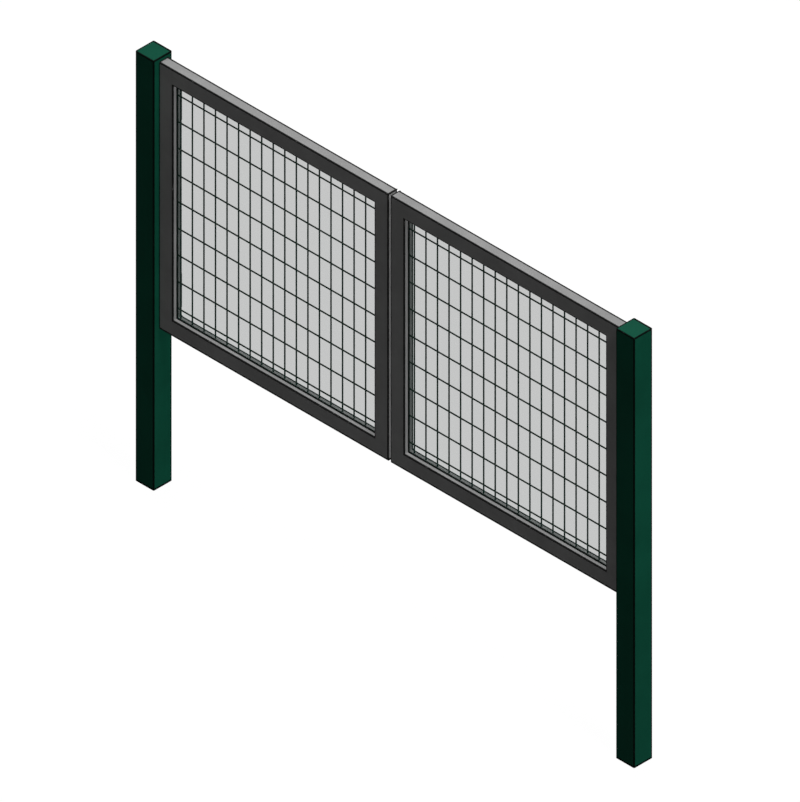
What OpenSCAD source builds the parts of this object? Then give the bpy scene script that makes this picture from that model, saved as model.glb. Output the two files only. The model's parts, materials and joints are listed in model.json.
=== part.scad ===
// Two-leaf livestock panel gate on square posts. All sizes are in millimetres.
// X runs along the gate with the middle of the gateway at X = 0. Y points to the
// rear, with the posts centred on Y = 0. Z is up from the buried foot of the posts.

/* [Posts] */
// Width and depth of each square post
post_size = 80; // [60:1:120]
// Wall thickness of the posts
post_wall = 3; // [2:0.5:6]
// Outside corner radius of the posts
post_corner = 4; // [1:0.5:8]
// Height of the posts above the top of the leaves
post_above_leaf = 10; // [0:5:100]
// Thickness of the flat plate welded over each post
cap_thickness = 3; // [2:1:6]

/* [Gateway] */
// Clear opening between the two posts
clear_opening = 2000; // [1600:10:2800]
// Gap between each leaf and its post
side_gap = 3; // [3:1:8]
// Gap between the two closed leaves
centre_gap = 10; // [8:1:20]
// Height of the underside of the leaves above the foot of the posts
leaf_base = 600; // [400:10:900]
// Height of each leaf
leaf_height = 1000; // [800:10:1400]

/* [Leaf frame] */
// Width of the frame tubes, seen from the front
tube_face = 60; // [50:1:80]
// Depth of the frame tubes, front to rear
tube_depth = 40; // [30:1:60]
// Wall thickness of the frame tubes
tube_wall = 2; // [1.5:0.5:4]
// Outside corner radius of the frame tubes
tube_corner = 2.5; // [1:0.5:5]

/* [Welded mesh] */
// Diameter of the mesh wires
wire_diameter = 5; // [3:0.5:8]
// Spacing of the upright wires
upright_pitch = 50; // [40:1:100]
// Spacing of the level wires
level_pitch = 100; // [50:5:200]
// First upright wire from the left side of the left leaf's opening
left_first_wire = 7.5; // [6:0.5:40]
// First upright wire from the left side of the right leaf's opening
right_first_wire = 16.5; // [6:0.5:40]
// First level wire above the bottom rail
first_level_wire = 35; // [10:1:90]

/* [Infill sheet] */
// Thickness of the see-through sheet in front of the mesh
sheet_thickness = 3; // [2:0.5:6]
// Thickness of the lips and back of the rubber edging round the sheet
edging_lip = 1; // [1:0.1:3]
// Width of the rubber edging, measured from the frame tube
edging_width = 4; // [4:0.5:12]
// Distance of the rubber edging behind the front of the frame
edging_setback = 15; // [8:0.5:20]

/* [Hinges] */
// Diameter of the hinge pins
pin_diameter = 14; // [10:1:20]
// Distance from each end of the leaf to the middle of its hinge
hinge_inset = 150; // [110:5:250]
// Height of the hinge knuckle on the leaf
knuckle_height = 40; // [30:1:60]
// Thickness of the plate bolted to the rear of the post
post_plate_thickness = 6; // [4:1:10]
// Thickness of the plate bolted to the rear of the leaf
leaf_plate_thickness = 5; // [3:1:8]
// Distance from the inner side of the post to the hinge axis
axis_inset = 20; // [18:1:30]

/* [Slide latch] */
// Height of the latch above the underside of the leaves
latch_height = 500; // [480:10:700]
// Diameter of the latch bolt
latch_bolt_diameter = 12; // [10:1:16]

/* [Drop bolt] */
// Diameter of the drop bolt
drop_rod_diameter = 16; // [12:1:18]
// Height of the lower guide above the underside of the leaf
drop_guide_base = 80; // [80:5:120]
// Distance the drop bolt travels down into the ground
drop_travel = 160; // [80:5:200]

/* [Hidden] */
$fn = 64;
e = 1;

// Running fit on a radius, and the play of a screw in its hole
running_fit = 0.075;
screw_fit = 0.1;
// Free play at each end of a sliding collar, and above a hinge knuckle
collar_play = 0.25;
knuckle_play = 1;
// Play of the latch bolt all round in the keeper's staple
keeper_play = 1.5;
// Air between the lugs and the leaf plate, and between edging and wires
lug_air = 1;
edging_air = 0.2;
// Room left for the last wire beside the frame tube
wire_margin = 6;
// Depth that welded wires sink into each other
weld_sink = 0.5;

// Posts
half_opening = clear_opening / 2;
post_centre = half_opening + post_size / 2;
post_rear = post_size / 2;
leaf_top = leaf_base + leaf_height;
post_height = leaf_top + post_above_leaf;

// Leaves, for the right-hand side
hinge_edge = half_opening - side_gap;
meeting_edge = centre_gap / 2;
leaf_width = hinge_edge - meeting_edge;
leaf_rear = tube_depth / 2;
opening_width = leaf_width - 2 * tube_face;
opening_height = leaf_height - 2 * tube_face;
opening_base = leaf_base + tube_face;

// Infill, from the front to the rear
edging_front = edging_setback - leaf_rear;
edging_depth = sheet_thickness + 2 * edging_lip;
sheet_front = edging_front + edging_lip;
level_y = edging_front + edging_depth + edging_air + wire_diameter / 2;
upright_y = level_y + wire_diameter - weld_sink;

// Hinges, for the right-hand side
lug_wall = 5;
lug_radius = pin_diameter / 2 + lug_wall;
lug_thickness = 6;
washer_thickness = 3;
axis_x = half_opening - axis_inset;
axis_y = leaf_rear + leaf_plate_thickness + lug_air + lug_radius;
lug_back = max(axis_y + lug_radius, post_rear + post_plate_thickness);
lower_hinge = leaf_base + hinge_inset;
upper_hinge = leaf_top - hinge_inset;
hinge_levels = [lower_hinge, upper_hinge];
lower_lug_top = -knuckle_height / 2 - washer_thickness;
upper_lug_base = knuckle_height / 2 + knuckle_play;
pin_head_height = 6;
pin_head_lip = 4;
pin_chamfer = 1;
pin_tail = 14;
cotter_diameter = 3.2;
cotter_drop = 7;
cotter_wire = 2;
cotter_eye_radius = 3.5;
cotter_standoff = 1.5;
cotter_end = 3;
post_plate_height = 110;
post_plate_inset = 10;
post_plate_near = half_opening + post_corner;
post_plate_far = half_opening + post_size - post_plate_inset;
lug_foot = post_corner + 8;
leaf_plate_height = 124;
leaf_plate_inset = 5;
leaf_plate_edge = 1;
leaf_plate_near = hinge_edge - tube_face + leaf_plate_inset;
leaf_plate_far = hinge_edge - leaf_plate_edge;
web_width = lug_radius * 1.5;

// Large screws hold the hinges, small ones the latch and the drop bolt.
// A head's radius over its corners is a share of the thread's diameter.
head_corner_ratio = 0.94;
large_screw = 8;
large_head = 5.3;
large_length_post = 20;
large_length_leaf = 16;
small_screw = 6;
small_head = 4;
small_length = 12;
post_screw_end = 13;
post_screw_rise = post_plate_height / 2 - post_screw_end;
near_screw_inset = 16;
far_screw_inset = 14;
post_screw_spots = [
    for (x = [post_plate_near + near_screw_inset, post_plate_far - far_screw_inset])
        for (z = [-post_screw_rise, post_screw_rise])
            [x, z]
];
// The middle of the strip between the leaf plate's inner edge and the knuckle
leaf_screw_x = (leaf_plate_near + axis_x - lug_radius) / 2;
end_screw_x = axis_x - 10;
middle_screw_rise = 20;
end_screw_rise = 50;
leaf_screw_spots = [
    [leaf_screw_x, -middle_screw_rise],
    [leaf_screw_x, middle_screw_rise],
    [end_screw_x, -end_screw_rise],
    [end_screw_x, end_screw_rise]
];

// Slide latch, on the meeting stiles. Both bolts run clear of their plates.
rod_air = 4;
fitting_thickness = 3;
fitting_inset = 3;
fitting_width = tube_face - 2 * fitting_inset;
latch_z = leaf_base + latch_height;
latch_y = leaf_rear + fitting_thickness + rod_air + latch_bolt_diameter / 2;
latch_guide_length = 8;
guide_wall = 3;
latch_guide_radius = latch_bolt_diameter / 2 + guide_wall;
latch_collar_length = 7.5;
latch_travel = fitting_width - 2 * latch_guide_length - latch_collar_length - 2 * collar_play;
latch_near = -meeting_edge - fitting_inset;
latch_far = latch_near - fitting_width;
latch_plate_height = 60;
latch_screw_inset = 10;
latch_screw_end = 8;
latch_screw_rise = latch_plate_height / 2 - latch_screw_end;
latch_screw_spots = [
    for (x = [latch_far + latch_screw_inset, latch_near - latch_screw_inset])
        for (z = [-latch_screw_rise, latch_screw_rise])
            [x, latch_z + z]
];
handle_diameter = 10;
handle_length = 42;
handle_gap = 4;
handle_margin = 2;
knob_diameter = 14;
handle_x = latch_far - latch_travel - handle_gap - handle_diameter / 2;
bolt_left_end = handle_x - handle_diameter / 2 - handle_margin;
bolt_lead = 1;
bolt_right_end = latch_near + bolt_lead;
bolt_tip = 1.5;
bolt_tip_narrowing = 3;
keeper_start = meeting_edge + fitting_inset;
keeper_height = 34;
keeper_width = fitting_width - 4;
keeper_screw_near = 21;
keeper_screw_far = 39;
staple_bar = 4;
staple_inner = latch_bolt_diameter / 2 + keeper_play;
keeper_screw_spots = [
    [keeper_start + keeper_screw_near, latch_z],
    [keeper_start + keeper_screw_far, latch_z]
];

// Drop bolt, on the right leaf's meeting stile
drop_offset = 2;
drop_x = meeting_edge + tube_face / 2 - drop_offset;
drop_y = leaf_rear + fitting_thickness + rod_air + drop_rod_diameter / 2;
drop_guide_length = 12;
drop_guide_radius = drop_rod_diameter / 2 + guide_wall;
drop_plate_width = tube_face - 10;
drop_plate_height = 36;
drop_collar_length = 8;
drop_handle_air = 2;
lower_guide = leaf_base + drop_guide_base;
guide_rise = drop_travel + drop_guide_length + drop_collar_length + 2 * collar_play;
upper_guide = lower_guide + guide_rise;
guide_levels = [lower_guide, upper_guide];
drop_handle_base = upper_guide + drop_guide_length / 2 + drop_travel + drop_handle_air;
drop_handle_z = drop_handle_base + handle_diameter / 2;
drop_handle_length = 38;
rod_foot_rise = 6;
rod_foot = leaf_base + rod_foot_rise;
rod_tip = 3;
rod_tip_narrowing = 6;
drop_screw_margin = 6;
drop_screw_reach = drop_plate_width / 2 - drop_screw_margin;
drop_screw_rise = drop_plate_height / 2 - drop_screw_margin;
drop_screw_spots = [
    for (z = guide_levels)
        for (s = [-1, 1])
            [drop_x + s * drop_screw_reach, z - s * drop_screw_rise]
];

// ---------- shared shapes ----------

// Everything is drawn for the right-hand side and mirrored for the left
module on_side(side) {
    mirror([side < 0 ? 1 : 0, 0, 0])
        children();
}

module rounded_rectangle(w, d, r) {
    square([w - 2 * r, d], center = true);
    square([w, d - 2 * r], center = true);
    for (x = [-1, 1])
        for (y = [-1, 1])
            translate([x * (w / 2 - r), y * (d / 2 - r)])
                circle(r = r);
}

module tube(w, d, wall, r, length) {
    difference() {
        linear_extrude(length)
            rounded_rectangle(w, d, r);
        translate([0, 0, -e])
            linear_extrude(length + 2 * e)
                square([w - 2 * wall, d - 2 * wall], center = true);
    }
}

// Keeps the part of a tube inside an outline given in X and Z
module mitred(outline) {
    intersection() {
        children();
        rotate([90, 0, 0])
            linear_extrude(2 * tube_depth, center = true)
                polygon(outline);
    }
}

// Round holes through a wall at [x, z] spots, from y back towards the front
module rear_holes(spots, radius, y, depth) {
    for (s = spots)
        translate([s[0], y + e, s[1]])
            rotate([90, 0, 0])
                cylinder(r = radius, h = depth + 2 * e);
}

// Hexagon-head screws whose heads sit on a plate at y
module rear_screws(spots, size, head, length, y) {
    for (s = spots)
        translate([s[0], y, s[1]])
            rotate([90, 0, 0]) {
                cylinder(r = size / 2, h = length);
                translate([0, 0, -head])
                    cylinder(r = size * head_corner_ratio, h = head, $fn = 6);
            }
}

function at_levels(spots, levels) = [for (z = levels) for (s = spots) [s[0], s[1] + z]];

// ---------- posts ----------

module post(side) {
    color("darkgreen")
        on_side(side)
            difference() {
                translate([post_centre, 0, 0])
                    tube(post_size, post_size, post_wall, post_corner, post_height - cap_thickness);
                rear_holes(
                    at_levels(post_screw_spots, hinge_levels),
                    large_screw / 2 + screw_fit, post_rear, post_wall
                );
            }
}

module post_cap(side) {
    color("green")
        translate([side * post_centre, 0, post_height - cap_thickness])
            linear_extrude(cap_thickness)
                rounded_rectangle(post_size, post_size, post_corner);
}

// ---------- leaf frames ----------

module stile_blank(x) {
    translate([x, 0, leaf_base])
        tube(tube_face, tube_depth, tube_wall, tube_corner, leaf_height);
}

module hinge_stile(side) {
    inner = hinge_edge - tube_face;
    color("silver")
        on_side(side)
            difference() {
                mitred([
                    [hinge_edge + e, leaf_base - e],
                    [hinge_edge + e, leaf_top + e],
                    [inner - e, leaf_top - tube_face - e],
                    [inner - e, leaf_base + tube_face + e]
                ])
                    stile_blank(hinge_edge - tube_face / 2);
                rear_holes(
                    at_levels(leaf_screw_spots, hinge_levels),
                    large_screw / 2 + screw_fit, leaf_rear, tube_wall
                );
            }
}

module meeting_stile_blank() {
    inner = meeting_edge + tube_face;
    mitred([
        [meeting_edge - e, leaf_base - e],
        [meeting_edge - e, leaf_top + e],
        [inner + e, leaf_top - tube_face - e],
        [inner + e, leaf_base + tube_face + e]
    ])
        stile_blank(meeting_edge + tube_face / 2);
}

module left_meeting_stile() {
    color("silver")
        difference() {
            on_side(-1)
                meeting_stile_blank();
            rear_holes(latch_screw_spots, small_screw / 2 + screw_fit, leaf_rear, tube_wall);
        }
}

module right_meeting_stile() {
    color("silver")
        difference() {
            meeting_stile_blank();
            rear_holes(keeper_screw_spots, small_screw / 2 + screw_fit, leaf_rear, tube_wall);
            rear_holes(drop_screw_spots, small_screw / 2 + screw_fit, leaf_rear, tube_wall);
        }
}

module rail_blank(z) {
    translate([meeting_edge, 0, z])
        rotate([0, 90, 0])
            tube(tube_face, tube_depth, tube_wall, tube_corner, leaf_width);
}

module top_rail(side) {
    color("silver")
        on_side(side)
            mitred([
                [meeting_edge - e, leaf_top + e],
                [hinge_edge + e, leaf_top + e],
                [hinge_edge - tube_face - e, leaf_top - tube_face - e],
                [meeting_edge + tube_face + e, leaf_top - tube_face - e]
            ])
                rail_blank(leaf_top - tube_face / 2);
}

module bottom_rail(side) {
    color("silver")
        on_side(side)
            mitred([
                [meeting_edge - e, leaf_base - e],
                [hinge_edge + e, leaf_base - e],
                [hinge_edge - tube_face - e, leaf_base + tube_face + e],
                [meeting_edge + tube_face + e, leaf_base + tube_face + e]
            ])
                rail_blank(leaf_base + tube_face / 2);
}

// ---------- welded mesh, sheet and edging ----------

// Left side of a leaf's opening
function opening_left(side) = side < 0 ? tube_face - hinge_edge : meeting_edge + tube_face;

module mesh_uprights(side) {
    first = side < 0 ? left_first_wire : right_first_wire;
    color("dimgray")
        for (x = [first : upright_pitch : opening_width - wire_margin])
            translate([opening_left(side) + x, upright_y, opening_base])
                cylinder(d = wire_diameter, h = opening_height);
}

module mesh_levels(side) {
    color("dimgray")
        for (z = [first_level_wire : level_pitch : opening_height - wire_margin])
            translate([opening_left(side), level_y, opening_base + z])
                rotate([0, 90, 0])
                    cylinder(d = wire_diameter, h = opening_width);
}

// A block that fills a leaf's opening apart from a margin all round
module infill_block(side, margin, y, depth) {
    translate([opening_left(side) + margin, y, opening_base + margin])
        cube([opening_width - 2 * margin, depth, opening_height - 2 * margin]);
}

module infill_sheet(side) {
    color("lightgreen", 0.4)
        infill_block(side, edging_lip, sheet_front, sheet_thickness);
}

module sheet_edging(side) {
    color("black")
        difference() {
            infill_block(side, 0, edging_front, edging_depth);
            infill_block(side, edging_width, edging_front - e, edging_depth + 2 * e);
            infill_block(side, edging_lip, sheet_front, sheet_thickness);
        }
}

// ---------- hinges ----------

// Outline of the lugs that carry the pin beside the post
module lug_outline() {
    difference() {
        union() {
            translate([axis_x, axis_y])
                circle(r = lug_radius);
            translate([axis_x, axis_y - lug_radius])
                square([lug_radius, lug_back - axis_y + lug_radius]);
            translate([axis_x, post_rear])
                square([axis_inset + lug_foot, lug_back - post_rear]);
        }
        translate([axis_x, axis_y])
            circle(r = pin_diameter / 2 + running_fit);
    }
}

module post_hinge(side, z) {
    color("slategray")
        on_side(side)
            difference() {
                union() {
                    translate([post_plate_near, post_rear, z - post_plate_height / 2])
                        cube([
                            post_plate_far - post_plate_near,
                            post_plate_thickness,
                            post_plate_height
                        ]);
                    translate([0, 0, z + lower_lug_top - lug_thickness])
                        linear_extrude(lug_thickness)
                            lug_outline();
                    translate([0, 0, z + upper_lug_base])
                        linear_extrude(lug_thickness)
                            lug_outline();
                }
                rear_holes(
                    at_levels(post_screw_spots, [z]),
                    large_screw / 2 + screw_fit, post_rear + post_plate_thickness,
                    post_plate_thickness
                );
            }
}

module leaf_hinge(side, z) {
    color("slategray")
        on_side(side)
            difference() {
                union() {
                    translate([leaf_plate_near, leaf_rear, z - leaf_plate_height / 2])
                        cube([
                            leaf_plate_far - leaf_plate_near,
                            leaf_plate_thickness,
                            leaf_plate_height
                        ]);
                    translate([axis_x, axis_y, z - knuckle_height / 2])
                        cylinder(r = lug_radius, h = knuckle_height);
                    translate([axis_x - web_width / 2, leaf_rear + e, z - knuckle_height / 2])
                        cube([web_width, axis_y - leaf_rear - e, knuckle_height]);
                }
                translate([axis_x, axis_y, z - knuckle_height / 2 - e])
                    cylinder(r = pin_diameter / 2 + running_fit, h = knuckle_height + 2 * e);
                rear_holes(
                    at_levels(leaf_screw_spots, [z]),
                    large_screw / 2 + screw_fit, leaf_rear + leaf_plate_thickness,
                    leaf_plate_thickness
                );
            }
}

module hinge_pin(side, z) {
    shank_base = z + lower_lug_top - lug_thickness - pin_tail;
    shank_top = z + upper_lug_base + lug_thickness;
    color("lightgray")
        on_side(side)
            translate([axis_x, axis_y, 0])
                difference() {
                    union() {
                        translate([0, 0, shank_base + pin_chamfer])
                            cylinder(
                                d = pin_diameter,
                                h = shank_top - shank_base - pin_chamfer + e
                            );
                        translate([0, 0, shank_base])
                            cylinder(
                                r1 = pin_diameter / 2 - pin_chamfer,
                                r2 = pin_diameter / 2, h = pin_chamfer
                            );
                        translate([0, 0, shank_top])
                            cylinder(r = pin_diameter / 2 + pin_head_lip, h = pin_head_height);
                    }
                    translate([0, 0, z + lower_lug_top - lug_thickness - cotter_drop])
                        rotate([0, 90, 0])
                            cylinder(
                                r = cotter_diameter / 2 + screw_fit,
                                h = pin_diameter + 2 * e, center = true
                            );
                }
}

module thrust_washer(side, z) {
    color("goldenrod")
        on_side(side)
            translate([axis_x, axis_y, z + lower_lug_top])
                difference() {
                    cylinder(r = lug_radius, h = washer_thickness);
                    translate([0, 0, -e])
                        cylinder(r = pin_diameter / 2 + running_fit, h = washer_thickness + 2 * e);
                }
}

// Split pin through the tail of the hinge pin, with its eye beside the pin
module cotter(side, z) {
    reach = pin_diameter / 2 + cotter_standoff;
    color("lightgray")
        on_side(side)
            translate([axis_x, axis_y, z + lower_lug_top - lug_thickness - cotter_drop]) {
                rotate([0, 90, 0])
                    translate([0, 0, -reach - cotter_end])
                        cylinder(d = cotter_diameter, h = 2 * reach + cotter_end + e);
                translate([reach + cotter_eye_radius, 0, 0])
                    rotate([90, 0, 0])
                        rotate_extrude()
                            translate([cotter_eye_radius, 0])
                                circle(d = cotter_wire);
            }
}

module post_screws(side) {
    color("lightgray")
        on_side(side)
            rear_screws(
                at_levels(post_screw_spots, hinge_levels),
                large_screw, large_head, large_length_post, post_rear + post_plate_thickness
            );
}

module leaf_screws(side) {
    color("lightgray")
        on_side(side)
            rear_screws(
                at_levels(leaf_screw_spots, hinge_levels),
                large_screw, large_head, large_length_leaf, leaf_rear + leaf_plate_thickness
            );
}

// ---------- slide latch ----------

// Outline of a guide standing on its plate, with the bolt's hole in it
module guide_outline(radius, rise, hole_radius) {
    difference() {
        union() {
            translate([0, rise])
                circle(r = radius);
            translate([-radius, -fitting_thickness])
                square([2 * radius, rise + fitting_thickness]);
        }
        translate([0, rise])
            circle(r = hole_radius);
    }
}

// A latch guide that starts at x and runs to the right
module latch_guide(x) {
    translate([x, leaf_rear + fitting_thickness, latch_z])
        rotate([0, 90, 0])
            linear_extrude(latch_guide_length)
                guide_outline(
                    latch_guide_radius,
                    latch_y - leaf_rear - fitting_thickness,
                    latch_bolt_diameter / 2 + running_fit
                );
}

// The keeper's square staple, which the latch bolt is shot into
module keeper_staple() {
    outer = staple_inner + staple_bar;
    difference() {
        translate([keeper_start, leaf_rear, latch_z - outer])
            cube([latch_guide_length, latch_y + outer - leaf_rear, 2 * outer]);
        translate([
            keeper_start - e, leaf_rear + fitting_thickness, latch_z - staple_inner
        ])
            cube([
                latch_guide_length + 2 * e,
                latch_y + staple_inner - leaf_rear - fitting_thickness,
                2 * staple_inner
            ]);
    }
}

module latch_plate() {
    color("slategray")
        difference() {
            union() {
                translate([latch_far, leaf_rear, latch_z - latch_plate_height / 2])
                    cube([fitting_width, fitting_thickness, latch_plate_height]);
                latch_guide(latch_far);
                latch_guide(latch_near - latch_guide_length);
            }
            rear_holes(
                latch_screw_spots, small_screw / 2 + screw_fit,
                leaf_rear + fitting_thickness, fitting_thickness
            );
        }
}

module latch_bolt() {
    color("lightgray")
        translate([0, latch_y, latch_z]) {
            translate([bolt_left_end, 0, 0])
                rotate([0, 90, 0])
                    cylinder(
                        d = latch_bolt_diameter,
                        h = bolt_right_end - bolt_tip - bolt_left_end
                    );
            translate([bolt_right_end - bolt_tip, 0, 0])
                rotate([0, 90, 0])
                    cylinder(
                        d1 = latch_bolt_diameter,
                        d2 = latch_bolt_diameter - bolt_tip_narrowing, h = bolt_tip
                    );
            translate([latch_far + latch_guide_length + collar_play, 0, 0])
                rotate([0, 90, 0])
                    cylinder(r = latch_guide_radius, h = latch_collar_length);
            translate([handle_x, 0, -handle_length]) {
                cylinder(d = handle_diameter, h = handle_length);
                sphere(d = knob_diameter);
            }
        }
}

module latch_keeper() {
    color("slategray")
        difference() {
            union() {
                translate([keeper_start, leaf_rear, latch_z - keeper_height / 2])
                    cube([keeper_width, fitting_thickness, keeper_height]);
                keeper_staple();
            }
            rear_holes(
                keeper_screw_spots, small_screw / 2 + screw_fit,
                leaf_rear + fitting_thickness, fitting_thickness
            );
        }
}

module latch_screws() {
    color("lightgray")
        rear_screws(
            latch_screw_spots, small_screw, small_head, small_length,
            leaf_rear + fitting_thickness
        );
}

module keeper_screws() {
    color("lightgray")
        rear_screws(
            keeper_screw_spots, small_screw, small_head, small_length,
            leaf_rear + fitting_thickness
        );
}

// ---------- drop bolt ----------

module drop_bolt() {
    rod_top = drop_handle_z + handle_diameter / 2 + handle_margin;
    color("lightgray")
        translate([drop_x, drop_y, 0]) {
            translate([0, 0, rod_foot + rod_tip])
                cylinder(d = drop_rod_diameter, h = rod_top - rod_foot - rod_tip);
            translate([0, 0, rod_foot])
                cylinder(
                    d1 = drop_rod_diameter - rod_tip_narrowing,
                    d2 = drop_rod_diameter, h = rod_tip
                );
            translate([
                0, 0,
                upper_guide - drop_guide_length / 2 - collar_play - drop_collar_length
            ])
                cylinder(r = drop_guide_radius, h = drop_collar_length);
            translate([0, 0, drop_handle_z])
                rotate([0, 90, 135]) {
                    cylinder(d = handle_diameter, h = drop_handle_length);
                    translate([0, 0, drop_handle_length])
                        sphere(d = knob_diameter);
                }
        }
}

module drop_guide(z) {
    color("slategray")
        difference() {
            union() {
                translate([
                    drop_x - drop_plate_width / 2, leaf_rear, z - drop_plate_height / 2
                ])
                    cube([drop_plate_width, fitting_thickness, drop_plate_height]);
                translate([
                    drop_x, leaf_rear + fitting_thickness, z - drop_guide_length / 2
                ])
                    linear_extrude(drop_guide_length)
                        guide_outline(
                            drop_guide_radius,
                            drop_y - leaf_rear - fitting_thickness,
                            drop_rod_diameter / 2 + running_fit
                        );
            }
            rear_holes(
                drop_screw_spots, small_screw / 2 + screw_fit,
                leaf_rear + fitting_thickness, fitting_thickness
            );
        }
}

module drop_guide_screws() {
    color("lightgray")
        rear_screws(
            drop_screw_spots, small_screw, small_head, small_length,
            leaf_rear + fitting_thickness
        );
}

// ---------- the gate ----------

post(-1);  // left_post
post(1);  // right_post
post_cap(-1);  // left_post_cap
post_cap(1);  // right_post_cap
hinge_stile(-1);  // left_hinge_stile
left_meeting_stile();
top_rail(-1);  // left_top_rail
bottom_rail(-1);  // left_bottom_rail
hinge_stile(1);  // right_hinge_stile
right_meeting_stile();
top_rail(1);  // right_top_rail
bottom_rail(1);  // right_bottom_rail
mesh_uprights(-1);  // left_mesh_uprights
mesh_levels(-1);  // left_mesh_levels
mesh_uprights(1);  // right_mesh_uprights
mesh_levels(1);  // right_mesh_levels
infill_sheet(-1);  // left_infill_sheet
infill_sheet(1);  // right_infill_sheet
sheet_edging(-1);  // left_sheet_edging
sheet_edging(1);  // right_sheet_edging
post_hinge(-1, lower_hinge);  // left_lower_post_hinge
post_hinge(-1, upper_hinge);  // left_upper_post_hinge
post_hinge(1, lower_hinge);  // right_lower_post_hinge
post_hinge(1, upper_hinge);  // right_upper_post_hinge
leaf_hinge(-1, lower_hinge);  // left_lower_leaf_hinge
leaf_hinge(-1, upper_hinge);  // left_upper_leaf_hinge
leaf_hinge(1, lower_hinge);  // right_lower_leaf_hinge
leaf_hinge(1, upper_hinge);  // right_upper_leaf_hinge
hinge_pin(-1, lower_hinge);  // left_lower_hinge_pin
hinge_pin(-1, upper_hinge);  // left_upper_hinge_pin
hinge_pin(1, lower_hinge);  // right_lower_hinge_pin
hinge_pin(1, upper_hinge);  // right_upper_hinge_pin
thrust_washer(-1, lower_hinge);  // left_lower_thrust_washer
thrust_washer(-1, upper_hinge);  // left_upper_thrust_washer
thrust_washer(1, lower_hinge);  // right_lower_thrust_washer
thrust_washer(1, upper_hinge);  // right_upper_thrust_washer
cotter(-1, lower_hinge);  // left_lower_cotter
cotter(-1, upper_hinge);  // left_upper_cotter
cotter(1, lower_hinge);  // right_lower_cotter
cotter(1, upper_hinge);  // right_upper_cotter
post_screws(-1);  // left_post_screws
post_screws(1);  // right_post_screws
leaf_screws(-1);  // left_leaf_screws
leaf_screws(1);  // right_leaf_screws
latch_plate();
latch_bolt();
latch_keeper();
latch_screws();
keeper_screws();
drop_bolt();
drop_guide(lower_guide);  // drop_guide_lower
drop_guide(upper_guide);  // drop_guide_upper
drop_guide_screws();
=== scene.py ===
"""Looks of the double-leaf livestock gate: materials, welds, grips, floor, light and camera."""

import json
import math
import random

import bmesh
import bpy
from mathutils import Matrix, Vector


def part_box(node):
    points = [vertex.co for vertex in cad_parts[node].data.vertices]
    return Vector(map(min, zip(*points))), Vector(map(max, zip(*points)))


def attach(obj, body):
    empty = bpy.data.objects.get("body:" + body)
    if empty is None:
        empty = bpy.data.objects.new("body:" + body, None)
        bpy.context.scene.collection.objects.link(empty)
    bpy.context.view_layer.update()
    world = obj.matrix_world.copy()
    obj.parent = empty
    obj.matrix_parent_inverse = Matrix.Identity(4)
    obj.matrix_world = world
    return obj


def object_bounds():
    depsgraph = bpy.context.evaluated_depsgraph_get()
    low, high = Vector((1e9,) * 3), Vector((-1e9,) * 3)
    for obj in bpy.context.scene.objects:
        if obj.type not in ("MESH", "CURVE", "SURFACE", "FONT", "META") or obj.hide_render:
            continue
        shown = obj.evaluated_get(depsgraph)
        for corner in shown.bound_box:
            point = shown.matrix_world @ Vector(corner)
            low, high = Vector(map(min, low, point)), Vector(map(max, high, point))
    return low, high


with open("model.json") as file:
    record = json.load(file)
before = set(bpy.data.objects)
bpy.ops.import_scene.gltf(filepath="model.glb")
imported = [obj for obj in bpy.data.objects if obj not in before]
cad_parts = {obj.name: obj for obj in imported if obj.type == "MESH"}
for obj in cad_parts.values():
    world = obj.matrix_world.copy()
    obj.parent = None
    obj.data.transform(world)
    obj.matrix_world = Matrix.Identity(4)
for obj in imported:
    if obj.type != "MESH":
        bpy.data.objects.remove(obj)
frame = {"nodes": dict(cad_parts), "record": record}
cad_low, cad_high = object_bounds()
nodes = frame["nodes"]
record = frame["record"]
random.seed(7)

SIDES = ("left", "right")
LEVELS = ("lower", "upper")

# ---------------------------------------------------------------- colours (linear)
POST_GREEN = (0.0044, 0.063, 0.037)
FRAME_GREY = (0.262, 0.262, 0.262)
FITTING_GREY = (0.225, 0.228, 0.232)
WIRE_GREEN = (0.0020, 0.0075, 0.0052)
SHEET_TINT = (0.016, 0.15, 0.11)
RUBBER_BLACK = (0.0065, 0.0078, 0.0072)
ZINC = (0.62, 0.62, 0.61)
ZINC_YELLOW = (0.60, 0.53, 0.37)
STEEL = (0.56, 0.56, 0.57)
BRASS = (0.62, 0.44, 0.18)
# Near-black of the painted edge shade, along the edges of posts and frames and on rolled corners
PAINTED_EDGE_SHADE = (0.0012, 0.0016, 0.0015)
BARE_STEEL = (0.20, 0.20, 0.195)
SOIL = (0.115, 0.082, 0.052)
WORN_STEEL = (0.075, 0.072, 0.068)
FLOOR_GREY = (0.05, 0.05, 0.05)
GRIME = (0.10, 0.085, 0.07)
WHITE = (1.0, 1.0, 1.0, 1.0)

# ---------------------------------------------------------------- measures (metres, unless said otherwise)
POST_LINE = 0.0044  # width of the painted edge shade, a dark line along the edges of the posts
FRAME_LINE = 0.0046  # the same along the edges of the leaf frames
REAR_AND_FOOT_SHARE = 0.62  # distances from the rear and the foot count for less: a wider painted edge-shade line there
SHEET_OPACITY = 0.26  # share of the light behind the sheet that it hides
SHEET_IOR = 1.49  # index of refraction of acrylic
FITTING_PLATE = 0.003  # thickness of the plates of the latch, keeper and drop bolt guides
HINGE_LUG = 0.006  # thickness of a hinge lug
HINGE_PLATE = 0.005  # thickness of the leaf's hinge plate
PIN_HEAD = 0.006  # height of a hinge pin's head
HANDLE_RADIUS = 0.005  # radius of the handles of the latch and the drop bolt

# Weld beads: radius, and distance between ripples
MITRE_BEAD = (0.0024, 0.0034)
CORNER_BEAD = (0.0026, 0.0032)
LUG_BEAD = (0.0021, 0.0022)
KNUCKLE_BEAD = (0.0024, 0.0028)
FITTING_BEAD = (0.0016, 0.0018)

# ---------------------------------------------------------------- node helpers


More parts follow.
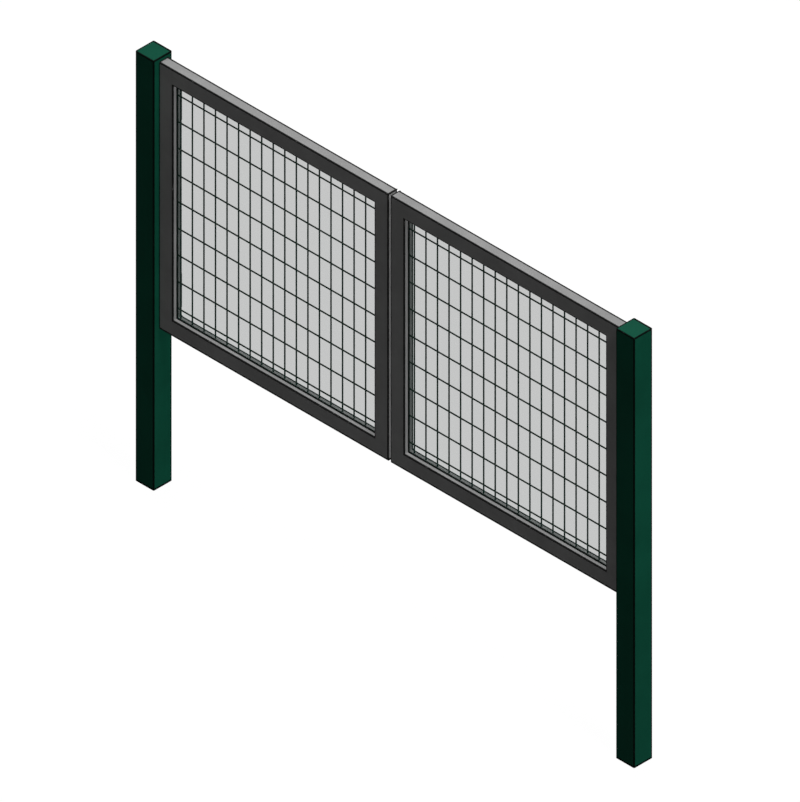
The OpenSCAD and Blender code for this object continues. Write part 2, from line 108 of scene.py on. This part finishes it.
class Shader:
    """A material being built: short names for the few node kinds that are used here."""

    def __init__(self, name):
        self.material = bpy.data.materials.new(name)
        self.material.use_nodes = True
        self.tree = self.material.node_tree
        self.bsdf = self.tree.nodes["Principled BSDF"]
        self.place = self.add("ShaderNodeTexCoord").outputs["Object"]
        self.normal = self.tree.nodes["Texture Coordinate"].outputs["Normal"]

    def add(self, kind, **values):
        """A new node of a kind, with its settings."""
        node = self.tree.nodes.new(kind)
        for key, value in values.items():
            setattr(node, key, value)
        return node

    def link(self, source, target):
        self.tree.links.new(source, target)

    def feed(self, socket, value):
        """Links an output to a socket, or sets the socket to a plain value."""
        if isinstance(value, bpy.types.NodeSocket):
            self.link(value, socket)
        else:
            socket.default_value = value

    def math(self, operation, a, b=0.0, clamp=False):
        node = self.add("ShaderNodeMath", operation=operation, use_clamp=clamp)
        self.feed(node.inputs[0], a)
        self.feed(node.inputs[1], b)
        return node.outputs[0]

    def scaled(self, scale):
        """Object coordinates, stretched by scale along each axis."""
        node = self.add("ShaderNodeMapping")
        self.link(self.place, node.inputs["Vector"])
        node.inputs["Scale"].default_value = scale
        return node.outputs[0]

    def noise(self, scale, detail=3.0, roughness=0.5, stretch=None):
        """Noise over object coordinates, from 0 to 1, optionally stretched along the axes."""
        node = self.add("ShaderNodeTexNoise")
        self.link(self.scaled(stretch) if stretch else self.place, node.inputs["Vector"])
        node.inputs["Scale"].default_value = scale
        node.inputs["Detail"].default_value = detail
        node.inputs["Roughness"].default_value = roughness
        return node.outputs["Fac"]

    def range(self, value, low, high, out_low=0.0, out_high=1.0):
        """Eases a value from one span to another, and holds it at both ends."""
        node = self.add("ShaderNodeMapRange", interpolation_type="SMOOTHSTEP")
        self.feed(node.inputs["Value"], value)
        node.inputs["From Min"].default_value = low
        node.inputs["From Max"].default_value = high
        node.inputs["To Min"].default_value = out_low
        node.inputs["To Max"].default_value = out_high
        return node.outputs["Result"]

    def mix(self, factor, a, b):
        """A colour between a and b, each a colour or an output."""
        node = self.add("ShaderNodeMix", data_type="RGBA")
        self.feed(node.inputs["Factor"], factor)
        self.feed(node.inputs["A"], a if isinstance(a, bpy.types.NodeSocket) else (*a, 1.0))
        self.feed(node.inputs["B"], b if isinstance(b, bpy.types.NodeSocket) else (*b, 1.0))
        return node.outputs["Result"]

    def axis(self, vector, index):
        """One component of a vector output."""
        node = self.add("ShaderNodeSeparateXYZ")
        self.link(vector, node.inputs[0])
        return node.outputs[index]

    def most(self, *values):
        return self.fold("MAXIMUM", values)

    def least(self, *values):
        return self.fold("MINIMUM", values)

    def fold(self, operation, values):
        """Joins several values with one math operation, two at a time."""
        result = values[0]
        for value in values[1:]:
            result = self.math(operation, result, value)
        return result

    def rolled_edge(self):
        """0 where the surface faces along an axis, 1 on rolled corners and round sides."""
        sides = [self.math("ABSOLUTE", self.axis(self.normal, k)) for k in range(3)]
        return self.range(self.most(*sides), 0.985, 0.90)

    def from_front_or_rear(self, y, front, rear):
        """Distance from the nearer of two depths; the painted edge-shade line is wider along the rear one.
        """
        behind = self.math("MULTIPLY", self.math("SUBTRACT", rear, y), REAR_AND_FOOT_SHARE)
        return self.least(self.math("SUBTRACT", y, front), behind)

    def leaf_edge(self):
        """Distance in metres from the nearest long edge of a leaf's frame, on either leaf."""
        x = self.math("ABSOLUTE", self.axis(self.place, 0))
        y, z = self.axis(self.place, 1), self.axis(self.place, 2)
        meeting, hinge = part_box("right_meeting_stile"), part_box("right_hinge_stile")
        sill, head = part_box("right_bottom_rail"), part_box("right_top_rail")
        outside_x = self.least(
            self.math("SUBTRACT", x, meeting[0].x),
            self.math("SUBTRACT", hinge[1].x, x),
        )
        above_foot = self.math("MULTIPLY", self.math("SUBTRACT", z, sill[0].z), REAR_AND_FOOT_SHARE)
        outside_z = self.least(above_foot, self.math("SUBTRACT", head[1].z, z))
        inside_x = self.most(
            self.math("SUBTRACT", meeting[1].x, x),
            self.math("SUBTRACT", x, hinge[0].x),
        )
        inside_z = self.most(
            self.math("SUBTRACT", sill[1].z, z),
            self.math("SUBTRACT", z, head[0].z),
        )
        across = self.least(outside_x, outside_z, self.most(inside_x, inside_z))
        along_y = self.from_front_or_rear(y, sill[0].y, sill[1].y)
        return self.least(self.most(across, along_y), self.most(outside_x, outside_z))

    def post_edge(self):
        """Distance in metres from the nearest edge of a post, on either post."""
        post_low, post_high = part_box("right_post")
        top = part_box("right_post_cap")[1].z
        half = (post_high.x - post_low.x) / 2
        x = self.math("ABSOLUTE", self.axis(self.place, 0))
        x = self.math("ABSOLUTE", self.math("SUBTRACT", x, post_low.x + half))
        y, z = self.axis(self.place, 1), self.axis(self.place, 2)
        side_x = self.math("SUBTRACT", half, x)
        side_y = self.from_front_or_rear(y, post_low.y, post_high.y)
        nearest_side = self.least(side_x, side_y)
        end = self.least(self.math("SUBTRACT", top, z), self.math("MULTIPLY", z, REAR_AND_FOOT_SHARE))
        return self.least(self.most(side_x, side_y), self.most(nearest_side, end))

    def bump(self, height, distance, strength=1.0, under=None):
        """A normal bent by a height, on top of another bump if one is given."""
        node = self.add("ShaderNodeBump")
        node.inputs["Distance"].default_value = distance
        node.inputs["Strength"].default_value = strength
        self.link(height, node.inputs["Height"])
        if under:
            self.link(under, node.inputs["Normal"])
        return node.outputs["Normal"]

    def finish(self, colour, roughness, normal, metallic=0.0, specular=0.5):
        """Feeds the surface shader and returns the finished material."""
        self.feed(self.bsdf.inputs["Base Color"], colour)
        self.feed(self.bsdf.inputs["Roughness"], roughness)
        self.link(normal, self.bsdf.inputs["Normal"])
        self.bsdf.inputs["Metallic"].default_value = metallic
        self.bsdf.inputs["Specular IOR Level"].default_value = specular
        return self.material


# ---------------------------------------------------------------- materials


def powder_coat(name, colour, soil_top, edge=None, edge_width=0.0, specular=0.15):
    """Baked powder coat: orange peel, faint mottling and run-off, painted edge shade (a dark line along the
    edges, or darkened rolled corners) with rubbed or chipped wear, soil low down.
    """
    s = Shader(name)
    shade = tuple(c * 0.90 for c in colour)
    light = tuple(c * 1.08 for c in colour)
    mottle = s.range(s.noise(5.0, 5.0, 0.6), 0.35, 0.68)
    base = s.mix(mottle, shade, light)
    streaks = s.noise(1.0, 4.0, 0.6, stretch=(46.0, 46.0, 1.6))
    base = s.mix(s.range(streaks, 0.56, 0.80, 0.0, 0.25), base, tuple(c * 0.70 for c in colour))
    if edge:
        ragged = s.math("MULTIPLY", s.noise(170.0, 4.0, 0.65), edge_width * 0.5)
        distance = s.math("ADD", edge(s), ragged)
        # Painted edge shade: a near-black line painted along the edges of the piece.
        edge_shade_mask = s.range(distance, edge_width * 1.35, edge_width * 1.10, 0.0, 0.97)
        base = s.mix(edge_shade_mask, base, PAINTED_EDGE_SHADE)
        rubbed = s.range(distance, edge_width * 0.62, edge_width * 0.45)
        rubbed = s.math("MULTIPLY", rubbed, s.range(s.noise(75.0, 5.0, 0.7), 0.60, 0.68, 0.0, 0.8))
        base = s.mix(rubbed, base, BARE_STEEL)
    else:
        rolled = s.rolled_edge()
        # Painted edge shade: rolled corners and round sides are darkened a little. The chips after this are
        # wear.
        base = s.mix(s.math("MULTIPLY", rolled, 0.18), base, PAINTED_EDGE_SHADE)
        chips = s.range(s.noise(230.0, 5.0, 0.7), 0.57, 0.63, 0.0, 0.75)
        base = s.mix(s.math("MULTIPLY", rolled, chips), base, WORN_STEEL)
    height = s.axis(s.place, 2)
    splash = s.math("ADD", height, s.math("MULTIPLY", s.noise(14.0, 5.0, 0.65), 0.22))
    soil = s.range(splash, soil_top, soil_top - 0.16, 0.0, 0.42)
    base = s.mix(soil, base, SOIL)
    grain = s.noise(1400.0, 2.0, 0.5)
    rough = s.math("ADD", s.range(s.noise(9.0, 4.0, 0.6), 0.3, 0.7, 0.44, 0.60),
                   s.math("MULTIPLY", soil, 0.5), clamp=True)
    peel = s.bump(s.noise(620.0, 1.0, 0.4), 0.00009, 0.45)
    return s.finish(base, rough, s.bump(grain, 0.00003, 0.4, peel), specular=specular)


def coated_wire(name):
    """Plastic-coated wire: very dark green, satin, with dust on top of the wires."""
    s = Shader(name)
    light = tuple(c * 2.2 for c in WIRE_GREEN)
    base = s.mix(s.range(s.noise(30.0, 4.0, 0.6), 0.45, 0.75), WIRE_GREEN, light)
    dust = s.math("MULTIPLY", s.range(s.axis(s.normal, 2), 0.55, 1.0), s.noise(120.0, 3.0))
    base = s.mix(s.math("MULTIPLY", dust, 0.35), base, SOIL)
    rough = s.range(s.noise(80.0, 3.0, 0.6), 0.3, 0.7, 0.36, 0.52)
    return s.finish(base, rough, s.bump(s.noise(700.0, 2.0), 0.00012, 0.5), specular=0.12)


def tinted_sheet(name):
    """Clear sheet with a faint green-grey tint; its rest is dust and fine scratches in the gloss."""
    s = Shader(name)
    s.material.surface_render_method = "BLENDED"
    film = s.range(s.noise(3.5, 6.0, 0.65), 0.42, 0.78)
    base = s.mix(s.math("MULTIPLY", film, 0.28), SHEET_TINT, tuple(c * 1.9 for c in SHEET_TINT))
    scratches = s.noise(1.0, 3.0, 0.7, stretch=(22.0, 22.0, 520.0))
    rough = s.math("ADD", s.range(scratches, 0.60, 0.80, 0.10, 0.26), s.math("MULTIPLY", film, 0.12))
    s.bsdf.inputs["Alpha"].default_value = SHEET_OPACITY
    s.bsdf.inputs["IOR"].default_value = SHEET_IOR
    return s.finish(base, rough, s.bump(s.noise(2.2, 2.0), 0.0016, 0.25), specular=0.5)


def rubber(name):
    """Matt black rubber with fine grain and a little bloom."""
    s = Shader(name)
    bloom = s.range(s.noise(40.0, 4.0, 0.6), 0.5, 0.8, 0.0, 0.5)
    base = s.mix(bloom, RUBBER_BLACK, tuple(c * 3.0 for c in RUBBER_BLACK))
    rough = s.range(s.noise(25.0, 3.0), 0.3, 0.7, 0.62, 0.82)
    return s.finish(base, rough, s.bump(s.noise(1100.0, 3.0, 0.6), 0.00012, 0.8), specular=0.12)


def plated(name, colour, patina, scratch_stretch):
    """Metal plating: patchy passivation, fine scratches along the piece, grime in blotches."""
    s = Shader(name)
    base = s.mix(s.range(s.noise(55.0, 5.0, 0.6), 0.38, 0.70), colour, patina)
    grime = s.range(s.noise(130.0, 4.0, 0.7), 0.55, 0.82, 0.0, 0.3)
    base = s.mix(grime, base, GRIME)
    scratch = s.noise(1.0, 3.0, 0.7, stretch=scratch_stretch)
    rough = s.math("ADD", s.range(scratch, 0.35, 0.72, 0.26, 0.48), s.math("MULTIPLY", grime, 0.4))
    normal = s.bump(s.noise(900.0, 2.0), 0.00005, 0.5, s.bump(scratch, 0.00006, 0.5))
    return s.finish(base, rough, normal, metallic=1.0)


UPRIGHT_SCRATCHES = (900.0, 900.0, 40.0)
LEVEL_SCRATCHES = (40.0, 900.0, 900.0)

MATERIALS = {
    "post_green": powder_coat("post_green_coat", POST_GREEN, 0.10, Shader.post_edge, POST_LINE, 0.04),
    "frame_grey": powder_coat("frame_grey_coat", FRAME_GREY, 0.64, Shader.leaf_edge, FRAME_LINE, 0.12),
    "hinge_steel": powder_coat("hinge_grey_coat", FITTING_GREY, 0.0),
    "fitting_steel": powder_coat("fitting_grey_coat", FITTING_GREY, 0.0),
    "mesh_wire": coated_wire("mesh_wire_coat"),
    "infill_tint": tinted_sheet("infill_sheet_tint"),
    "edging_rubber": rubber("edging_rubber_black"),
    "pin_steel": plated("pin_zinc", ZINC, STEEL, UPRIGHT_SCRATCHES),
    "screw_steel": plated("screw_zinc", ZINC, ZINC_YELLOW, UPRIGHT_SCRATCHES),
    "washer_brass": plated("washer_brass_greased", BRASS, tuple(c * 0.6 for c in BRASS), UPRIGHT_SCRATCHES),
    "bolt_steel": plated("bolt_zinc", ZINC, STEEL, LEVEL_SCRATCHES),
}
SLOT_OF = {part["node"]: part["material_slot"] for part in record["subparts"]}

for name, node in nodes.items():
    for material_slot in node.material_slots:
        material_slot.material = MATERIALS[SLOT_OF[name]]
    node.visible_shadow = SLOT_OF[name] != "infill_tint"

# ---------------------------------------------------------------- softened edges of plates and heads

# Width of the rounding, by the ending of the node's name
ROUNDING = {
    "post_hinge": 0.0010, "leaf_hinge": 0.0010, "screws": 0.0005, "hinge_pin": 0.0006,
    "washer": 0.0004, "latch_plate": 0.0008, "latch_keeper": 0.0008, "lower": 0.0008,
    "upper": 0.0008, "bolt": 0.0006,
}


def round_edges(node, width):
    """Rounds the sharp edges of a node in the picture, not in the part."""
    bevel = node.modifiers.new("rounded_edges", "BEVEL")
    bevel.width = width
    bevel.segments = 2
    bevel.limit_method = "ANGLE"
    bevel.angle_limit = math.radians(40)


for name, node in nodes.items():
    for ending, width in ROUNDING.items():
        if name.endswith(ending):
            round_edges(node, width)


# ---------------------------------------------------------------- new pieces


def new_piece(name, build, body, slot):
    """A smooth piece that build draws, riding on a body and wearing the material of a slot."""
    bm = bmesh.new()
    build(bm)
    mesh = bpy.data.meshes.new(name)
    bm.to_mesh(mesh)
    bm.free()
    piece = bpy.data.objects.new(name, mesh)
    bpy.context.scene.collection.objects.link(piece)
    mesh.materials.append(MATERIALS[slot])
    mesh.shade_smooth()
    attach(piece, body)


def blob(bm, centre, size, turn=None, rings=6):
    """A smooth ellipsoid, size being its three half-widths."""
    place = Matrix.Translation(centre) @ (turn or Matrix.Identity(4)) @ Matrix.Diagonal((*size, 1.0))
    bmesh.ops.create_uvsphere(bm, u_segments=8, v_segments=rings, radius=1.0, matrix=place)


def bead(bm, start, end, size):
    """A weld bead: overlapping ripples along a straight line, each a little uneven."""
    radius, step = size
    start, end = Vector(start), Vector(end)
    along = (end - start).normalized()
    turn = along.to_track_quat("X", "Z").to_matrix().to_4x4()
    count = max(2, round((end - start).length / step))
    for k in range(count + 1):
        centre = start.lerp(end, k / count)
        wide = radius * random.uniform(0.88, 1.10)
        blob(bm, centre, (step * 1.05, wide, wide * random.uniform(0.75, 0.95)), turn)


# ---------------------------------------------------------------- measures taken from the frame


def line_centres(name, axis):
    """Middle of each wire of a mesh layer along one axis."""
    widest_wire = 0.010
    values = sorted(vertex.co[axis] for vertex in nodes[name].data.vertices)
    groups = [[values[0]]]
    for value in values[1:]:
        if value - groups[-1][-1] > widest_wire:
            groups.append([])
        groups[-1].append(value)
    return [(group[0] + group[-1]) / 2 for group in groups]


def loose_parts(name):
    """The vertex positions of each separate solid of a node."""
    bm = bmesh.new()
    bm.from_mesh(nodes[name].data)
    bmesh.ops.remove_doubles(bm, verts=bm.verts, dist=1e-6)
    seen, parts = set(), []
    for first in bm.verts:
        if first in seen:
            continue
        stack, part = [first], []
        seen.add(first)
        while stack:
            vertex = stack.pop()
            part.append(vertex.co.copy())
            for edge in vertex.link_edges:
                other = edge.other_vert(vertex)
                if other not in seen:
                    seen.add(other)
                    stack.append(other)
        parts.append(part)
    bm.free()
    return parts


# ---------------------------------------------------------------- mesh welds


def mesh_welds(side):
    """Lumps where the wires cross, and collars where they meet the frame."""
    levels, uprights = f"{side}_mesh_levels", f"{side}_mesh_uprights"
    level_box, upright_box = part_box(levels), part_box(uprights)
    touch_y = (level_box[1].y + upright_box[0].y) / 2
    level_y = (level_box[0].y + level_box[1].y) / 2
    upright_y = (upright_box[0].y + upright_box[1].y) / 2
    radius = (level_box[1].y - level_box[0].y) / 2
    flat, collar, thin = radius * 0.55, radius * 1.35, radius * 0.5
    xs, zs = line_centres(uprights, 0), line_centres(levels, 2)

    def build(bm):
        for x in xs:
            for z in zs:
                spread = radius * random.uniform(1.05, 1.25)
                blob(bm, (x, touch_y, z), (spread, flat, spread), rings=5)
            for z in (upright_box[0].z, upright_box[1].z):
                blob(bm, (x, upright_y, z), (collar, collar, thin), rings=5)
        for z in zs:
            for x in (level_box[0].x, level_box[1].x):
                blob(bm, (x, level_y, z), (thin, collar, collar), rings=5)

    new_piece(f"{side}_mesh_welds", build, f"{side}_leaf", "mesh_wire")


# ---------------------------------------------------------------- frame welds


def frame_welds(side):
    """Beads along the mitres on the rear of the frame, and in the opening's corners behind the mesh."""
    hinge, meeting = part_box(f"{side}_hinge_stile"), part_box(f"{side}_meeting_stile")
    sill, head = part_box(f"{side}_bottom_rail"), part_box(f"{side}_top_rail")
    rear = sill[1].y
    outer_x = (sill[0].x, sill[1].x)
    first, last = sorted((hinge, meeting), key=lambda box: box[0].x)
    inner_x = (first[1].x, last[0].x)
    outer_z, inner_z = (sill[0].z, head[1].z), (sill[1].z, head[0].z)
    mitre_inset = 0.004
    behind_mesh, before_rear = Vector((0.0, 0.011, 0.0)), Vector((0.0, rear - 0.002, 0.0))

    def build(bm):
        for i in range(2):
            for k in range(2):
                inner = Vector((inner_x[i], rear, inner_z[k]))
                outer = Vector((outer_x[i], rear, outer_z[k]))
                inset = (outer - inner).normalized() * mitre_inset
                bead(bm, inner + inset, outer - inset, MITRE_BEAD)
                corner = Vector((inner_x[i], 0.0, inner_z[k]))
                bead(bm, corner + behind_mesh, corner + before_rear, CORNER_BEAD)

    new_piece(f"{side}_frame_welds", build, f"{side}_leaf", "frame_grey")


# ---------------------------------------------------------------- hinge welds


def hinge_welds(side, level):
    """Beads that join the lugs to the post plate, and the knuckle's web to the leaf plate."""
    sign = -1 if side == "left" else 1
    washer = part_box(f"{side}_{level}_thrust_washer")
    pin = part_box(f"{side}_{level}_hinge_pin")
    leaf_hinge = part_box(f"{side}_{level}_leaf_hinge")
    post_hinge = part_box(f"{side}_{level}_post_hinge")
    axis_x = (pin[0].x + pin[1].x) / 2
    lower_top, upper_top = washer[0].z, pin[1].z - PIN_HEAD
    lugs = ((lower_top - HINGE_LUG, lower_top), (upper_top - HINGE_LUG, upper_top))
    seam = 0.0006
    lug_face = post_hinge[1].y - 0.004
    lug_start, lug_end = axis_x + sign * 0.0255, axis_x + sign * 0.032
    web_face, beside_web = leaf_hinge[0].y + HINGE_PLATE, 0.0098
    web_foot, web_head = washer[1].z + 0.002, washer[1].z + 0.038

    def build_post(bm):
        for low, high in lugs:
            for z in (low - seam, high + seam):
                bead(bm, (lug_start, lug_face, z), (lug_end, lug_face, z), LUG_BEAD)
            bead(bm, (lug_end, lug_face, low), (lug_end, lug_face, high), LUG_BEAD)

    def build_leaf(bm):
        for x in (axis_x - beside_web, axis_x + beside_web):
            bead(bm, (x, web_face, web_foot), (x, web_face, web_head), KNUCKLE_BEAD)

    new_piece(f"{side}_{level}_lug_welds", build_post, "posts", "hinge_steel")
    new_piece(f"{side}_{level}_knuckle_welds", build_leaf, f"{side}_leaf", "hinge_steel")


# ---------------------------------------------------------------- welds of the latch and the drop bolt


def latch_welds():
    """Beads beside the feet of the latch's two guides, on their plate."""
    low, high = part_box("latch_plate")
    middle_z, face = (low.z + high.z) / 2, low.y + FITTING_PLATE
    guide, reach, inset = 0.008, 0.009 + 0.0005, 0.001

    def build(bm):
        for start in (low.x, high.x - guide):
            for z in (middle_z - reach, middle_z + reach):
                bead(bm, (start + inset, face, z), (start + guide - inset, face, z), FITTING_BEAD)

    new_piece("latch_plate_welds", build, "left_leaf", "fitting_steel")


def keeper_welds():
    """Beads where the staple's two legs stand on the keeper's plate."""
    low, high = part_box("latch_keeper")
    middle_z, face = (low.z + high.z) / 2, low.y + FITTING_PLATE
    staple, reach, inset = 0.008, 0.0115 + 0.0005, 0.001

    def build(bm):
        for z in (middle_z - reach, middle_z + reach):
            bead(bm, (low.x + inset, face, z), (low.x + staple - inset, face, z), FITTING_BEAD)

    new_piece("latch_keeper_welds", build, "right_leaf", "fitting_steel")


def guide_welds(name):
    """Beads beside the foot of a drop bolt guide, on its plate."""
    low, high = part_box(name)
    middle = (low + high) / 2
    face, reach, half_length = low.y + FITTING_PLATE, 0.0115, 0.005
    foot, head = middle.z - half_length, middle.z + half_length

    def build(bm):
        for x in (middle.x - reach, middle.x + reach):
            bead(bm, (x, face, foot), (x, face, head), FITTING_BEAD)

    new_piece(f"{name}_welds", build, "right_leaf", "fitting_steel")


# ---------------------------------------------------------------- turned pieces


def turned(bm, profile, place):
    """A closed ring of (radius, height) points turned about the Z axis of place."""
    segments = 28
    rings = []
    for k in range(segments):
        angle = 2 * math.pi * k / segments
        turn = Vector((math.cos(angle), math.sin(angle), 0.0))
        rings.append([bm.verts.new(place @ (turn * r + Vector((0.0, 0.0, h)))) for r, h in profile])
    for k in range(segments):
        here, there = rings[k], rings[(k + 1) % segments]
        for i in range(len(profile)):
            j = (i + 1) % len(profile)
            bm.faces.new((here[i], here[j], there[j], there[i]))
    bmesh.ops.recalc_face_normals(bm, faces=bm.faces)


def head_flanges(screws, body):
    """A round flange under each hexagon head of a set of screws."""
    to_rear = Matrix.Rotation(-math.pi / 2, 4, "X")

    def build(bm):
        for part in loose_parts(screws):
            xs, zs = [co.x for co in part], [co.z for co in part]
            middle = Vector(((min(xs) + max(xs)) / 2, 0.0, (min(zs) + max(zs)) / 2))
            reach = [math.hypot(co.x - middle.x, co.z - middle.z) for co in part]
            radius = max(reach)
            middle.y = min(co.y for co, r in zip(part, reach) if r > 0.9 * radius)
            bore, wide, thick, sink = radius * 0.4, radius * 1.2, 0.0012, 0.0002
            profile = [
                (bore, -sink),
                (wide, -sink),
                (wide, thick * 0.45),
                (wide * 0.95, thick * 0.8),
                (radius * 0.9, thick),
                (bore, thick),
            ]
            turned(bm, profile, Matrix.Translation(middle) @ to_rear)

    new_piece(screws.replace("screws", "screw_flanges"), build, body, "screw_steel")


def ribbed_grip(name, body, start, end, ribs):
    """A rubber sleeve pushed over a handle, with rounded ribs along it."""
    start, end = Vector(start), Vector(end)
    length = (end - start).length
    bore, valley, crest = HANDLE_RADIUS - 0.0002, HANDLE_RADIUS + 0.0009, HANDLE_RADIUS + 0.0019
    per_rib, fullness = 6, 0.7
    steps = ribs * per_rib
    profile = [(bore, 0.0), (valley, 0.0)]
    for k in range(1, steps):
        swell = math.sin(math.pi * (k % per_rib) / per_rib) ** fullness
        profile.append((valley + (crest - valley) * swell, length * k / steps))
    profile += [(valley, length), (bore, length)]
    place = Matrix.Translation(start) @ (end - start).to_track_quat("Z", "Y").to_matrix().to_4x4()
    new_piece(name, lambda bm: turned(bm, profile, place), body, "edging_rubber")


def latch_grip():
    """The sleeve on the latch's handle, from above its knob to below the bolt."""
    low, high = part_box("latch_bolt")
    margin, knob, bolt_radius = 0.002, 0.007, 0.009
    above_knob, below_bolt = 0.0055, 0.0075
    x, y = low.x + margin + HANDLE_RADIUS, (low.y + high.y) / 2
    foot, head = low.z + knob + above_knob, high.z - bolt_radius - below_bolt
    ribbed_grip("latch_bolt_grip", "slide_latch", (x, y, foot), (x, y, head), ribs=7)


def drop_bolt_grip():
    """The sleeve on the drop bolt's handle, which points away from the leaf and sideways."""
    guide_low, guide_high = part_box("drop_guide_upper")
    rod_low, rod_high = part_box("drop_bolt")
    margin, rod_radius = 0.002, 0.011
    first, last = 0.0125, 0.0315
    x, y = (guide_low.x + guide_high.x) / 2, rod_low.y + rod_radius
    root = Vector((x, y, rod_high.z - margin - HANDLE_RADIUS))
    outward = Vector((-1.0, 1.0, 0.0)).normalized()
    start, end = root + outward * first, root + outward * last
    ribbed_grip("drop_bolt_grip", "drop_bolt_rod", start, end, ribs=5)


for side in SIDES:
    mesh_welds(side)
    frame_welds(side)
    for level in LEVELS:
        hinge_welds(side, level)
    head_flanges(f"{side}_post_screws", "posts")
    head_flanges(f"{side}_leaf_screws", f"{side}_leaf")
head_flanges("latch_screws", "left_leaf")
head_flanges("keeper_screws", "right_leaf")
head_flanges("drop_guide_screws", "right_leaf")
latch_welds()
keeper_welds()
guide_welds("drop_guide_lower")
guide_welds("drop_guide_upper")
latch_grip()
drop_bolt_grip()

# ---------------------------------------------------------------- floor, light and camera

KEY_DIRECTION = (0.60, -0.07, 1.0)
KEY_SOFTNESS = 14
FLOOR_SIZE = 30.0
FLOOR_GLOW = 0.945


def add_floor():
    """A white floor that takes shadows but sheds no light on the gate."""
    bpy.ops.mesh.primitive_plane_add(size=FLOOR_SIZE, location=(0.0, 0.0, cad_low.z))
    floor = bpy.context.object
    floor.name = "studio_floor"
    material = bpy.data.materials.new("studio_floor_white")
    material.use_nodes = True
    tree = material.node_tree
    bsdf = tree.nodes["Principled BSDF"]
    bsdf.inputs["Base Color"].default_value = (*FLOOR_GREY, 1.0)
    bsdf.inputs["Roughness"].default_value = 0.9
    bsdf.inputs["Specular IOR Level"].default_value = 0.1
    bsdf.inputs["Emission Color"].default_value = WHITE
    bsdf.inputs["Emission Strength"].default_value = FLOOR_GLOW
    floor.data.materials.append(material)
    floor.visible_diffuse = False
    floor.visible_glossy = False


def add_sun(name, direction, strength, softness, glossy=True, shadow=True):
    """Parallel light from a direction; softness is the angle it fills, in degrees."""
    light = bpy.data.lights.new(name, "SUN")
    light.energy = strength
    light.angle = math.radians(softness)
    light.use_shadow = shadow
    sun = bpy.data.objects.new(name, light)
    sun.rotation_euler = Vector(direction).to_track_quat("Z", "Y").to_euler()
    sun.visible_glossy = glossy
    bpy.context.scene.collection.objects.link(sun)


def add_world(ambient, backdrop, below, around, above):
    """Dim even light, a studio gradient for mirror-like metal, and a near-white backdrop."""
    world = bpy.data.worlds.new("studio")
    world.use_nodes = True
    bpy.context.scene.world = world
    tree = world.node_tree

    def light(strength):
        """White light, its strength a number or an output."""
        node = tree.nodes.new("ShaderNodeBackground")
        node.inputs["Color"].default_value = WHITE
        if isinstance(strength, bpy.types.NodeSocket):
            tree.links.new(strength, node.inputs["Strength"])
        else:
            node.inputs["Strength"].default_value = strength
        return node.outputs[0]

    def step(height, low, high, start, end):
        """Runs from start to end while height runs from low to high."""
        node = tree.nodes.new("ShaderNodeMapRange")
        tree.links.new(height, node.inputs["Value"])
        for socket, value in zip(("From Min", "From Max", "To Min", "To Max"), (low, high, start, end)):
            node.inputs[socket].default_value = value
        return node.outputs["Result"]

    def choose(question, no, yes):
        """One of two lights, by a yes-or-no output."""
        node = tree.nodes.new("ShaderNodeMixShader")
        tree.links.new(question, node.inputs["Fac"])
        tree.links.new(no, node.inputs[1])
        tree.links.new(yes, node.inputs[2])
        return node.outputs[0]

    place = tree.nodes.new("ShaderNodeTexCoord")
    split = tree.nodes.new("ShaderNodeSeparateXYZ")
    horizon_low, horizon_high, zenith = -0.25, 0.10, 1.0
    tree.links.new(place.outputs["Generated"], split.inputs[0])
    gradient = tree.nodes.new("ShaderNodeMath")
    gradient.operation = "ADD"
    height = split.outputs["Z"]
    lower = step(height, horizon_low, horizon_high, below, around)
    upper = step(height, horizon_high, zenith, 0.0, above - around)
    tree.links.new(lower, gradient.inputs[0])
    tree.links.new(upper, gradient.inputs[1])
    path = tree.nodes.new("ShaderNodeLightPath")
    seen = choose(path.outputs["Is Glossy Ray"], light(ambient), light(gradient.outputs[0]))
    seen = choose(path.outputs["Is Camera Ray"], seen, light(backdrop))
    tree.links.new(seen, tree.nodes["World Output"].inputs["Surface"])


def add_camera():
    """A parallel camera at the isometric angle: 45 degrees round and 35.26 degrees up."""
    data = bpy.data.cameras.new("isometric")
    data.type = "ORTHO"
    data.ortho_scale = 2.455
    data.clip_end = 60.0
    distance = 9.0
    aim_right, aim_up = 0.0264, 0.0258
    camera = bpy.data.objects.new("isometric", data)
    back = Vector((1.0, -1.0, 1.0)).normalized()
    middle_height = (cad_low.z + cad_high.z) / 2
    aim = Vector((aim_right, 0.0, middle_height + aim_up))
    camera.location = aim + back * distance
    camera.rotation_euler = back.to_track_quat("Z", "Y").to_euler()
    bpy.context.scene.collection.objects.link(camera)
    bpy.context.scene.camera = camera


add_floor()
add_world(ambient=0.05, backdrop=1.0, below=0.10, around=0.40, above=0.42)
add_sun("key_above", KEY_DIRECTION, 1.1, KEY_SOFTNESS)
add_sun("key_wash", KEY_DIRECTION, 2.7, KEY_SOFTNESS, glossy=False, shadow=False)
add_sun("rear_fill", (-0.85, 0.55, 0.25), 1.9, 60, glossy=False)
add_camera()
bpy.context.scene.view_settings.view_transform = "Standard"
